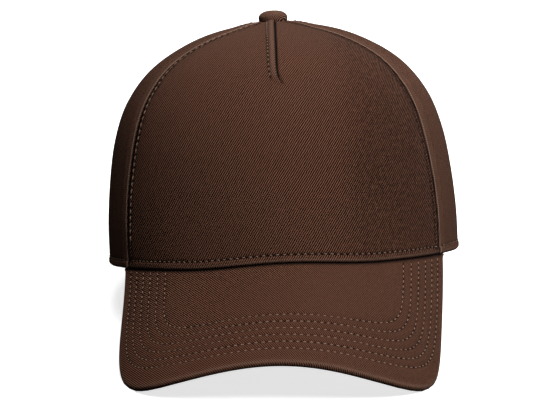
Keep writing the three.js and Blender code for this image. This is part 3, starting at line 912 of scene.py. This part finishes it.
def twill(name, rib_deg, pitch_mm, light, dark, contrast=1.0, relief=0.32, sewn=True, least=1.0, spread=0.0):
    """Twill weave in the cloth's own millimetres: slanted ribs, broken into floats, with slubs.

    The ribs keep the share least of their contrast towards +X, and lie further apart there by spread. The
    fading of their contrast is painted light: the key light falls flat on the ribs on that side.
    """
    material, shader = new_material(name)
    g = Graph(material)
    uv, x, y = g.cloth()
    angle = math.radians(rib_deg)
    turn = 1000 / pitch_mm
    warp = g.noise(uv, WARP_SCALE, 2.0)
    slow = g.noise(uv, SLOW_SCALE, 1.0)
    bend = g.math("SUBTRACT", 1.0, g.math("MULTIPLY", g.math("MULTIPLY", x, x), spread))
    down = g.math("MULTIPLY", y, -math.cos(angle) * turn)
    across = g.math("MULTIPLY_ADD", g.math("MULTIPLY", x, bend), math.sin(angle) * turn, down)
    rib = g.wave(g.add_uneven(g.add_uneven(across, warp, 0.55), slow, 1.0))
    beads = g.math("MULTIPLY_ADD", x, turn * BEAD_ACROSS, g.math("MULTIPLY", y, turn * BEAD_ALONG))
    bead = g.wave(g.add_uneven(beads, warp, 3.0))
    grain = g.noise(uv, GRAIN_SCALE, 2.0, 0.6)
    slub = g.noise(uv, SLUB_SCALE, 3.0, 0.65)
    cloudy = g.noise(g.place(), CLOUD_SCALE, 3.0, 0.55)
    height = g.math("MULTIPLY_ADD", rib, 0.72, g.math("MULTIPLY", bead, 0.16))
    height = g.math("MULTIPLY_ADD", grain, 0.22, height)
    strong = RIB_CONTRAST * contrast
    tone = g.add_uneven(0.3, rib, g.window(x, 0.0, RIB_FADE_WIDTH, strong, strong * least))
    for source, amount in ((bead, 0.2 * contrast), (slub, 1.1), (grain, 0.7), (cloudy, 0.35)):
        tone = g.add_uneven(tone, source, amount)
    tone = g.limit(tone)
    colour = g.blend(tone, dark, light)
    if sewn:
        # Painted shadow: dark dashes between the stitches and a dark band along each row, where the thread's
        # groove is in shade, with the mesh's painted shade marks on top.
        off = g.attribute("row_off")
        run = g.attribute("row_run")
        at_hole = g.window(g.beat(run, STITCH_PITCH), 0.14, 0.3, 0.3, 1.0)
        painted_stitch_shadow = g.math("MULTIPLY", g.window(off, 0.3, 0.7, 1.0, 0.0), at_hole)
        pull_and_painted_row_shade = g.window(off, 0.3, 1.2, 0.3, 0.0)
        shade = g.math("MAXIMUM", g.math("MULTIPLY", painted_stitch_shadow, 0.92), pull_and_painted_row_shade)
        shade = g.math("MAXIMUM", shade, g.attribute("crease_and_painted_shade"))
        colour = g.blend(shade, colour, PAINTED_SHADE_BROWN)
        # Painted highlight: light dots along edges and ridges, where they catch the light.
        dots = g.window(g.beat(run, FOLD_PITCH), 0.12, 0.32, 1.0, 0.45)
        painted_highlight_share = g.math("MULTIPLY", g.attribute("painted_highlight"), dots)
        colour = g.blend(g.math("MULTIPLY", painted_highlight_share, 0.85), colour, PAINTED_HIGHLIGHT_BROWN)
    g.put(colour, shader.inputs["Base Color"])
    g.put(g.window(tone, 0.0, 1.0, 0.95, 0.78), shader.inputs["Roughness"])
    g.put(g.bump(height, relief * METRES), shader.inputs["Normal"])
    set_inputs(shader, {"Specular IOR Level": 0.06, "Sheen Weight": 0.01,
                        "Sheen Roughness": 0.5, "Sheen Tint": SHEEN_TINT})
    return material


def thread_material(name, light, dark):
    material, shader = new_material(name)
    g = Graph(material)
    _, x, y = g.cloth()
    ply = g.wave(g.math("MULTIPLY_ADD", x, 2200.0, g.math("MULTIPLY", y, 1600.0)))
    patch = g.noise(g.place(), 900.0, 2.0)
    tone = g.limit(g.add_uneven(g.math("MULTIPLY_ADD", ply, 0.35, 0.32), patch, 1.2))
    g.put(g.blend(tone, dark, light), shader.inputs["Base Color"])
    g.put(g.bump(ply, 0.04 * METRES), shader.inputs["Normal"])
    g.put(g.window(ply, 0.0, 1.0, 0.75, 0.55), shader.inputs["Roughness"])
    set_inputs(shader, {"Specular IOR Level": 0.2})
    return material


front_twill = twill("front_twill", 57, 0.98, LIGHT_BROWN, DARK_BROWN, least=0.2, spread=18.0)
side_twill = twill("side_twill", 80, 0.98, LIGHT_BROWN, DARK_BROWN, contrast=0.8)
back_twill = twill("back_twill", 62, 0.98, LIGHT_BROWN, DARK_BROWN)
peak_twill = twill("peak_twill", 52, 0.9, PEAK_BROWN, DARK_BROWN, contrast=0.85, least=0.6)
button_twill = twill("button_twill", 50, 0.95, BUTTON_BROWN, DARK_BROWN, sewn=False)
band_cloth = twill("band_cloth", 45, 0.6, (0.06, 0.03, 0.02, 1), (0.02, 0.009, 0.006, 1), 0.6, 0.12)
strap_cloth = twill("strap_cloth", 57, 0.98, LIGHT_BROWN, DARK_BROWN)
thread = thread_material("brown_thread", (0.36, 0.225, 0.16, 1), (0.13, 0.07, 0.045, 1))
crown_thread = thread_material("dark_brown_thread", (0.32, 0.2, 0.14, 1), (0.1, 0.052, 0.034, 1))

# Panels
panel("front_panel_cloth", "front_panel", (-FRONT_SEAM_DEG, 0.0, FRONT_SEAM_DEG), FRONT_WALL,
      front_twill, dart=True)
FLANK_DEG = 180 - math.degrees(math.asin(OPENING_WIDTH / RIM_WIDTH))
for side, mirror in (("right", False), ("left", True)):
    panel(f"side_panel_{side}_cloth", f"side_panel_{side}", (FRONT_SEAM_DEG, BACK_SEAM_DEG), SIDE_WALL,
          side_twill, mirror=mirror)
    panel(f"back_panel_{side}_cloth", f"back_panel_{side}", (BACK_SEAM_DEG, FLANK_DEG, 180.0), BACK_WALL,
          back_twill, mirror=mirror)

front = (-FRONT_SEAM_DEG, FRONT_SEAM_DEG)
side_right = (FRONT_SEAM_DEG, BACK_SEAM_DEG)
back_right = (BACK_SEAM_DEG, 180.0)
crown_rows = [
    seam_row(FRONT_SEAM_DEG, -1, *front), seam_row(-FRONT_SEAM_DEG, 1, *front),
    hem_row(*front), dart_row(),
]
half_rows = [
    seam_row(BACK_SEAM_DEG, -1, *side_right), hem_row(*side_right),
    seam_row(BACK_SEAM_DEG, 1, *back_right),
    seam_row(180.0, -1, *back_right, low=OPENING_HEIGHT + HEM_ROW_OFF),
    hem_row(*back_right, end=FLANK_DEG - 3.0), arch_row(*back_right),
]
crown_rows += half_rows + [mirrored_row(row) for row in half_rows]
stitches("crown_stitches", crown_rows, crown_thread)


# Peak
def with_sides(around, along, low):
    """A curve on the flat pattern, lengthened by a straight side at both of its ends."""
    low = np.linspace(low, along[0], 60)[:-1]
    half = np.full(low.shape, around[-1])
    around = np.concatenate([-half, around, half])
    return np.stack([around, np.concatenate([low, along, low[::-1]])], axis=-1)


def peak_outline():
    """The flat pattern's outer edge: up one side, round the front and down the other."""
    around, along = peak_edge(np.sin(np.linspace(-math.pi / 2, math.pi / 2, 1200)))
    root = peak_root(np.array([PEAK_END_DEG]))[2][0]
    return even_line(with_sides(around, along, root - 3), 0.4)


def peak_row(k):
    half = PEAK_ROW_SIDE - PEAK_ROW_SIDE_STEP * k
    reach = PEAK_ROW_FRONT - PEAK_ROW_FRONT_STEP * k
    power = PEAK_ROW_POWER + PEAK_ROW_POWER_STEP * k
    share = np.sin(np.linspace(-math.pi / 2, math.pi / 2, 900))
    bulge = (1 - np.abs(share) ** power) ** (1 / power)
    along = mix(-PEAK_WIDEST_BACK, reach, bulge) - PEAK_ROW_BOW * share ** 2
    root = peak_root(bend_deg(np.array([half])))[2][0]
    line = with_sides(share * half, along, root + 0.5)
    keep = line[:, 1] > peak_root(bend_deg(line[:, 0]))[2] + 0.4
    return even_line(line[keep], 0.5)


PEAK_LINES = [peak_row(k) for k in range(PEAK_ROWS)]
PEAK_OUTLINE = peak_outline()
PEAK_ROUND = PEAK_THICKNESS / 2


def peak_marks(flat, under=False):
    """Depth of the quilting on one face of the peak, with its sewing marks, a painted highlight along the
    upper face's rounded edge and painted shade along the under face's edge.
    """
    to_edge, _ = nearest(flat, PEAK_OUTLINE)
    near_rows = np.array([nearest(flat, line) for line in PEAK_LINES])
    pick = near_rows[:, 0].argmin(axis=0)[None]
    row_off, row_run = (np.take_along_axis(near_rows[:, k], pick, 0)[0] for k in range(2))
    outside = smooth_step(0.0, 2.5, to_edge)
    groove = 0.306 * hill(row_off, 0.0, 0.62)
    puff = -0.14 * smooth_step(0.6, 2.2, row_off) * outside
    spots = np.concatenate([flat, np.full(flat.shape[:-1] + (1,), 55.0 if under else 11.0)], axis=-1)
    pucker = 0.1 * soft_noise(spots, 4.2) * hill(row_off, 1.2, 1.5)
    wave = 0.25 * soft_noise(spots, 30.0) * outside
    rounding = rolled_edge(to_edge, PEAK_ROUND)
    welt = -0.12 * hill(to_edge, 2.4, 1.0) + 0.1 * hill(to_edge, 4.2, 0.9)
    # Painted highlight along the upper face's rounded edge, where it catches the light.
    painted_highlight = 0.3 * hill(to_edge, 1.3, 0.8)
    # Painted shade along the under face's edge, where the peak shades itself.
    crease_and_painted_shade = 0.8 * smooth_step(1.3, 0.5, to_edge) * under
    marks = dict(row_off=row_off, row_run=row_run, crease_and_painted_shade=crease_and_painted_shade, painted_highlight=painted_highlight * (not under))
    return groove + puff + pucker + wave + rounding + welt, marks


# Heights above the rim of the peak's tucked-in edge, and the width of the painted shadow line beside it
FLANGE_HEIGHTS = np.array([5.0, 2.5, 0.3])
ROOT_SHADOW = 0.9


def tucked_in(values):
    """The grid's values, with the first ones repeated along the tucked-in edge."""
    return np.concatenate([np.repeat(values[:, :1], len(FLANGE_HEIGHTS), axis=1), values], axis=1)


def peak():
    half = run_steps(PEAK_HALF_ROUND)
    side = half / PEAK_HALF_ROUND
    share = np.concatenate([-1 + side, (1 - side[::-1])[1:]])
    around, edge_along = peak_edge(share)
    root = peak_root(bend_deg(around))[2]
    reach = run_steps(PEAK_LENGTH)[::-1]
    t = 1 - reach / PEAK_LENGTH
    along = mix(root[:, None], edge_along[:, None], t[None, :])
    around = np.broadcast_to(around[:, None], along.shape)
    flat = np.stack([around, along], axis=-1)
    top_depth, top_marks = peak_marks(flat)
    under_depth, under_marks = peak_marks(flat, under=True)
    at_root = smooth_step(0.0, 3.0, along - root[:, None])
    top = peak_point(around, along, top_depth * at_root)
    under = peak_point(around, along, PEAK_THICKNESS - under_depth * at_root)
    rim_deg = np.repeat(bend_deg(around[:, :1]), len(FLANGE_HEIGHTS), axis=1)
    rim_u = height_to_u(rim_deg, np.broadcast_to(FLANGE_HEIGHTS, rim_deg.shape))
    top = np.concatenate([crown_point(rim_deg, rim_u, FRONT_WALL + 0.1), top], axis=1)
    under = np.concatenate([crown_point(rim_deg, rim_u, FRONT_WALL + 0.3), under], axis=1)
    # Painted shadow: a dark line on the peak beside the hem, and the tucked-in edge painted fully dark,
    # where the hem casts its shadow.
    shadow = smooth_step(ROOT_SHADOW + 0.5, ROOT_SHADOW - 0.4, along - root[:, None])
    for marks in (top_marks, under_marks):
        marks["crease_and_painted_shade"] = np.maximum(marks["crease_and_painted_shade"], shadow)
        for key, values in marks.items():
            marks[key] = tucked_in(values)
        marks["crease_and_painted_shade"][:, :len(FLANGE_HEIGHTS)] = 1.0
    return make_plate("peak_cloth", "peak", (top, under), tucked_in(flat), (top_marks, under_marks),
                      peak_twill, flip=True)


peak()


def peak_stitch_rows():
    rows = []
    for line in PEAK_LINES:
        around, along = line.T
        run = run_along(line)
        normal = peak_frame(around)[2]
        top_depth, _ = peak_marks(line)
        under_depth, _ = peak_marks(line, under=True)
        rows.append((peak_point(around, along, top_depth), normal, run))
        rows.append((peak_point(around, along, PEAK_THICKNESS - under_depth), -normal, run))
    return rows


stitches("peak_stitches", peak_stitch_rows(), thread)


# Sweatband and strap: strips inside the crown with rounded edges
STRIP_STRETCH = float(crown_stretch(180.0, 0.0))


def strip(name, node, degs_from, degs_to, low, high, depth, thickness, rows_at, material, wavy):
    run = run_steps((high - low) / 2)
    heights = np.concatenate([low + run, (high - run[::-1])[1:]])
    length = (degs_to - degs_from) * STRIP_STRETCH
    degs = np.linspace(degs_from, degs_to, int(length / 1.3))
    deg, height = np.meshgrid(degs, heights, indexing="ij")
    u = height_to_u(deg, height)
    to_edge = np.minimum(height - low, high - height)
    rounding = rolled_edge(to_edge, thickness / 2)
    row_off = np.min([np.abs(height - at) for at in rows_at], axis=0)
    groove = 0.14 * hill(row_off, 0.0, 0.5)
    skin = crown_skin(deg, u)
    wave = wavy * soft_noise(skin, 14.0)
    outer = crown_point(deg, u, depth + rounding + groove * 0.4 + np.abs(wave) * 0.5)
    inner = crown_point(deg, u, depth + thickness - rounding - groove + wave * 0.6)
    cloth_x = deg * STRIP_STRETCH
    cloth = np.stack([cloth_x, height], axis=-1)
    # Painted highlight along the strip's rounded edges.
    painted_highlight = 0.4 * hill(to_edge, 0.3, 0.6)
    marks = dict(row_off=row_off, row_run=cloth_x, crease_and_painted_shade=np.zeros(deg.shape), painted_highlight=painted_highlight)
    return make_plate(name, node, (outer, inner), cloth, (marks, marks), material)


STRAP_HALF_DEG = math.degrees(math.asin(OPENING_WIDTH / RIM_WIDTH) + STRAP_TUCK / HALF_LENGTH)
BAND_END_DEG = 180 - STRAP_HALF_DEG - math.degrees(STRAP_END_CLEARANCE / HALF_WIDTH)
BAND_DEPTH = FRONT_WALL + BAND_CLEARANCE
STRAP_DEPTH = BACK_WALL + STRAP_CLEARANCE
BAND_ROWS = (BAND_RISE + 4.0, BAND_HEIGHT - 2.5)
STRAP_ROWS = (STRAP_RISE + 2.0, STRAP_RISE + STRAP_WIDTH - 2.0)
strip("sweatband_cloth", "sweatband", -BAND_END_DEG, BAND_END_DEG, BAND_RISE, BAND_HEIGHT,
      BAND_DEPTH, BAND_WALL, BAND_ROWS, band_cloth, 0.15)
strip("back_strap_webbing", "back_strap", 180 - STRAP_HALF_DEG, 180 + STRAP_HALF_DEG,
      STRAP_RISE, STRAP_RISE + STRAP_WIDTH, STRAP_DEPTH, STRAP_THICKNESS, STRAP_ROWS,
      strap_cloth, 0.1)


def strip_row(degs_from, degs_to, height, depth, outward):
    degs = np.linspace(degs_from, degs_to, 500)
    u = height_to_u(degs, np.full(degs.shape, height))
    run = degs * STRIP_STRETCH
    return crown_point(degs, u, np.full(degs.shape, depth)), crown_normal(degs, u) * outward, run


# The stitches lie as deep as the groove that the strip has there
OUTER_GROOVE = 0.06
INNER_GROOVE = 0.14
strap_in = STRAP_HALF_DEG - 0.6
stitches("strap_stitches", [
    strip_row(180 - strap_in, 180 + strap_in, at, STRAP_DEPTH + depth, outward)
    for at in STRAP_ROWS
    for depth, outward in ((OUTER_GROOVE, 1), (STRAP_THICKNESS - INNER_GROOVE, -1))
], thread)
stitches("band_stitches", [
    strip_row(-BAND_END_DEG + 0.5, BAND_END_DEG - 0.5, at, BAND_DEPTH + BAND_WALL - INNER_GROOVE, -1)
    for at in BAND_ROWS
], thread)


# Button: a disc of metal under cloth that is gathered in beneath it
BUTTON_RIM_RISE = 1.6
BUTTON_SKIRT_DEPTH = 2.5
BUTTON_SIDES = 96


def button_profile():
    """Rings from the top down: reach, rise, and how much the cloth is gathered there."""
    radius = BUTTON_DIAMETER / 2
    profile = []
    for share in np.linspace(0, 1, 34):
        angle = math.pi / 2 * share
        reach = radius * math.sin(angle) ** 0.9
        rise = BUTTON_RIM_RISE + (BUTTON_HEIGHT - BUTTON_RIM_RISE) * math.cos(angle) ** 0.92
        profile.append((max(reach, 0.02), rise, 0.0))
    for share in np.linspace(0.08, 1, 14):
        angle = math.pi / 2 * share
        reach = radius * (0.86 + 0.14 * math.cos(angle))
        profile.append((reach, BUTTON_RIM_RISE - BUTTON_SKIRT_DEPTH * math.sin(angle), share))
    return profile + [(1.4, -0.9, 1.0), (1.4, -3.2, 1.0)]


def button():
    sides = BUTTON_SIDES
    turn = np.linspace(0, 2 * math.pi, sides, endpoint=False)
    profile = button_profile()
    points, uv, crease_and_painted_shade = [], [], []
    for reach, rise, gather in profile:
        pleat = 1 + 0.018 * gather * np.sin(turn * 15 + 0.7) + 0.01 * gather * np.sin(turn * 23)
        around = np.stack([reach * pleat * np.cos(turn), reach * pleat * np.sin(turn),
                           np.full(sides, rise)], axis=-1)
        around[:, 2] += 0.12 * soft_noise(around, 3.0) * (rise > 0.5)
        points.append(around)
        uv.append(around[:, :2] * (1 + 0.12 * (BUTTON_HEIGHT - rise)) * METRES)
        # Painted shade in the gathers under the button; the button's material does not read it.
        crease_and_painted_shade.append(np.full(sides, gather * 0.8))
    top = lay(crown_skin(0.0, 1.0))
    above = lay(crown_skin(0.0, 1.0) + np.array([0.0, 0.0, 1.0]))
    axis = unit(above - top)
    across = unit(np.cross(np.array([0.0, 1.0, 0.0]), axis))
    basis = np.stack([across, np.cross(axis, across), axis])
    points = (np.concatenate(points) @ basis + top + SHIFT) * METRES
    quads = []
    count = len(profile)
    for ring in range(count - 1):
        for k in range(sides):
            here, after = ring * sides + k, ring * sides + (k + 1) % sides
            quads.append((here, here + sides, after + sides, after))
    first, last = np.arange(sides), (count - 1) * sides + np.arange(sides)
    for k in range(1, sides - 2, 2):
        quads.append((first[0], first[k], first[k + 1], first[k + 2]))
        quads.append((last[0], last[k + 2], last[k + 1], last[k]))
    marks = dict(crease_and_painted_shade=np.concatenate(crease_and_painted_shade))
    return make_mesh("button_cover", points, quads, np.concatenate(uv), marks, len(quads),
                     button_twill, "button")


button()


# Floor, light and camera. The floor glows a little, so that its shadows stay light.
FLOOR_GLOW = 0.75
WHITE = (1.0, 1.0, 1.0, 1.0)


def floor():
    material, shader = new_material("floor_white")
    g = Graph(material)
    tone = g.noise(g.place(), 3.0, 2.0)
    g.put(g.blend(tone, (0.86, 0.86, 0.86, 1.0), (0.9, 0.9, 0.9, 1.0)), shader.inputs["Base Color"])
    set_inputs(shader, {"Roughness": 0.9, "Specular IOR Level": 0.1,
                        "Emission Color": WHITE, "Emission Strength": FLOOR_GLOW})
    mesh = bpy.data.meshes.new("floor")
    corners = [(-9, -6, 0), (9, -6, 0), (9, 14, 0), (-9, 14, 0)]
    mesh.from_pydata(corners, [], [(0, 1, 2, 3)])
    mesh.materials.append(material)
    piece = bpy.data.objects.new("floor", mesh)
    bpy.context.scene.collection.objects.link(piece)
    piece.visible_diffuse = False
    piece.visible_glossy = False


# Each sun's name, direction, strength and width in degrees
SUNS = (
    ("key", (-0.45, 0.45, -0.85), 2.7, 25),
    ("top", (0.0, 0.12, -1.0), 1.4, 25),
    ("top_right", (-0.7, 0.0, -0.8), 0.4, 25),
    ("back", (-0.45, -0.8, -0.5), 1.1, 60),
)
WORLD_STRENGTH = 0.03


def add_aimed(name, data, towards):
    item = bpy.data.objects.new(name, data)
    item.rotation_mode = "QUATERNION"
    item.rotation_quaternion = Vector(towards).to_track_quat("-Z", "Y")
    bpy.context.scene.collection.objects.link(item)
    return item


def sun(name, towards, strength, angle_deg):
    data = bpy.data.lights.new(name, "SUN")
    data.energy = strength
    data.angle = math.radians(angle_deg)
    add_aimed(name, data, towards)


CAMERA_DISTANCE = 2.5
CAMERA_ELEVATION_DEG = 18.0
CAMERA_TARGET = Vector((-0.003, 0.03142, 0.04926))
CAMERA_LENS = 324.3


def camera():
    data = bpy.data.cameras.new("camera")
    data.lens = CAMERA_LENS
    data.sensor_width = 36.0
    data.clip_start, data.clip_end = 0.1, 60.0
    lift = math.radians(CAMERA_ELEVATION_DEG)
    look = Vector((0.0, math.cos(lift), -math.sin(lift)))
    eye = add_aimed("camera", data, look)
    eye.location = CAMERA_TARGET - look * CAMERA_DISTANCE
    bpy.context.scene.camera = eye


floor()
for light in SUNS:
    sun(*light)
world = bpy.data.worlds.new("room")
world.use_nodes = True
set_inputs(world.node_tree.nodes["Background"], {"Color": WHITE, "Strength": WORLD_STRENGTH})
bpy.context.scene.world = world
bpy.context.scene.view_settings.view_transform = "Standard"
bpy.context.scene.view_settings.look = "None"
camera()
